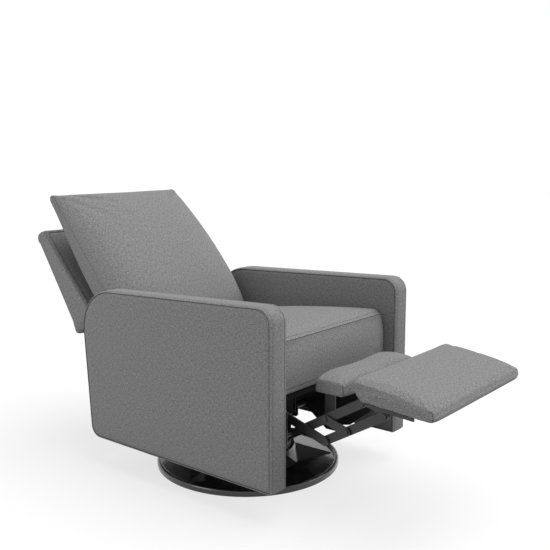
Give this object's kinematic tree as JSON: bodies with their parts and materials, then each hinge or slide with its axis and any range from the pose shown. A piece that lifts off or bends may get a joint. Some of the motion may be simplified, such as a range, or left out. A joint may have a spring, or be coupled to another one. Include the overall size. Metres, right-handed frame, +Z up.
{
  "type": "recliner chair",
  "caption": "Upholstered swivel glider recliner on a round floor base, with slab arms, a loose pillow back, a reclining back and a folding footrest on a scissor linkage.",
  "frame": {"origin": "on the floor, on the swivel axis, at the middle of the base ring", "axes": "+Z up along the swivel axis, the chair faces -Y, +X towards the sitter's left; rest pose is reclined with the footrest out"},
  "size_m": [0.7, 1.5477, 0.8677],
  "materials": {
    "upholstery": "woven heathered grey upholstery cloth over foam",
    "timber": "raw plywood and softwood framing",
    "black_steel": "satin black powder coat on pressed steel",
    "base_paint": "satin graphite paint on pressed steel",
    "bright_steel": "zinc plated fasteners and bearing parts",
    "cage_plastic": "moulded nylon",
    "webbing": "elastic seat webbing"
  },
  "bodies": {
    "base": {"base_rim": "base_paint", "base_dish": "base_paint", "lower_race": "bright_steel", "bearing_balls": "bright_steel", "ball_cage": "cage_plastic", "kingpin": "bright_steel", "thrust_washer": "bright_steel", "kingpin_nut": "bright_steel"},
    "swivel": {"upper_race": "bright_steel", "turntable": "black_steel", "hangers": "black_steel", "hanger_pins": "bright_steel"},
    "glide_rear": {"glide_links_rear": "black_steel"},
    "glide_front": {"glide_links_front": "black_steel"},
    "carriage": {"glide_rails": "black_steel", "glide_pins": "bright_steel", "side_plate_left": "black_steel", "side_plate_right": "black_steel", "front_rail": "timber", "rear_rail": "timber", "rail_bolts": "bright_steel", "rear_apron": "upholstery", "arm_core_left": "timber", "arm_core_right": "timber", "arm_inner_panel_left": "upholstery", "arm_inner_panel_right": "upholstery", "arm_outer_panel_left": "upholstery", "arm_outer_panel_right": "upholstery", "arm_band_left": "upholstery", "arm_band_right": "upholstery", "seat_cross_boards": "timber", "seat_side_boards": "timber", "seat_webbing": "webbing", "seat_cushion": "upholstery", "fold_pins": "bright_steel", "back_pins": "bright_steel"},
    "back": {"back_brackets": "black_steel", "back_posts": "timber", "back_rails": "timber", "back_bolts": "bright_steel", "back_shell": "upholstery", "back_front_pad": "upholstery", "back_cushion": "upholstery"},
    "drive": {"drive_link_left": "black_steel", "drive_link_right": "black_steel", "torque_tube": "black_steel", "drive_rivets": "bright_steel"},
    "long_link": {"long_links": "black_steel", "long_link_rivets": "bright_steel"},
    "rear_link": {"rear_link_left": "black_steel", "rear_link_right": "black_steel", "rear_link_rivets": "bright_steel", "flipper_tube": "black_steel", "flipper_brackets": "black_steel", "flipper_board": "timber", "flipper_pad": "upholstery"},
    "short_link": {"short_links": "black_steel"},
    "footrest": {"footrest_brackets": "black_steel", "footrest_board": "timber", "footrest_pad": "upholstery"}
  },
  "joints": [
    {"name": "swivel", "type": "hinge", "parent": "base", "child": "swivel", "pos_m": [0, 0, 0], "axis": [0, 0, 1], "continuous": true},
    {"name": "glide", "type": "hinge", "parent": "swivel", "child": "glide_rear", "pos_m": [0, 0.13, 0.245], "axis": [1, 0, 0], "range_deg": [-18, 18]},
    {"name": "glide_front", "type": "hinge", "parent": "swivel", "child": "glide_front", "pos_m": [0, -0.066, 0.245], "axis": [1, 0, 0], "range_deg": [-18, 18]},
    {"name": "carriage_level", "type": "hinge", "parent": "glide_rear", "child": "carriage", "pos_m": [0, 0.13, 0.14], "axis": [1, 0, 0], "range_deg": [-18, 18]},
    {"name": "back_recline", "type": "hinge", "parent": "carriage", "child": "back", "pos_m": [0, 0.3, 0.32], "axis": [1, 0, 0], "range_deg": [0, 24]},
    {"name": "footrest_fold", "type": "hinge", "parent": "carriage", "child": "drive", "pos_m": [0, -0.2197, 0.3168], "axis": [1, 0, 0], "range_deg": [0, 83.5]},
    {"name": "long_link_turn", "type": "hinge", "parent": "drive", "child": "long_link", "pos_m": [0, -0.468, 0.238], "axis": [1, 0, 0], "range_deg": [-108.1, 0]},
    {"name": "rear_link_turn", "type": "hinge", "parent": "drive", "child": "rear_link", "pos_m": [0, -0.40128, 0.25917], "axis": [1, 0, 0], "range_deg": [-108.1, 0]},
    {"name": "short_link_turn", "type": "hinge", "parent": "rear_link", "child": "short_link", "pos_m": [0, -0.47027, 0.29967], "axis": [1, 0, 0], "range_deg": [0, 108.1]},
    {"name": "footrest_turn", "type": "hinge", "parent": "long_link", "child": "footrest", "pos_m": [0, -0.652, 0.346], "axis": [1, 0, 0], "range_deg": [0, 108.1]}
  ],
  "couplings": [
    {"joint": "glide_front", "follows": "glide", "ratio": 1},
    {"joint": "carriage_level", "follows": "glide", "ratio": -1},
    {"joint": "long_link_turn", "follows": "footrest_fold", "ratio": -1.2946},
    {"joint": "rear_link_turn", "follows": "footrest_fold", "ratio": -1.2946},
    {"joint": "short_link_turn", "follows": "footrest_fold", "ratio": 1.2946},
    {"joint": "footrest_turn", "follows": "footrest_fold", "ratio": 1.2946}
  ]
}
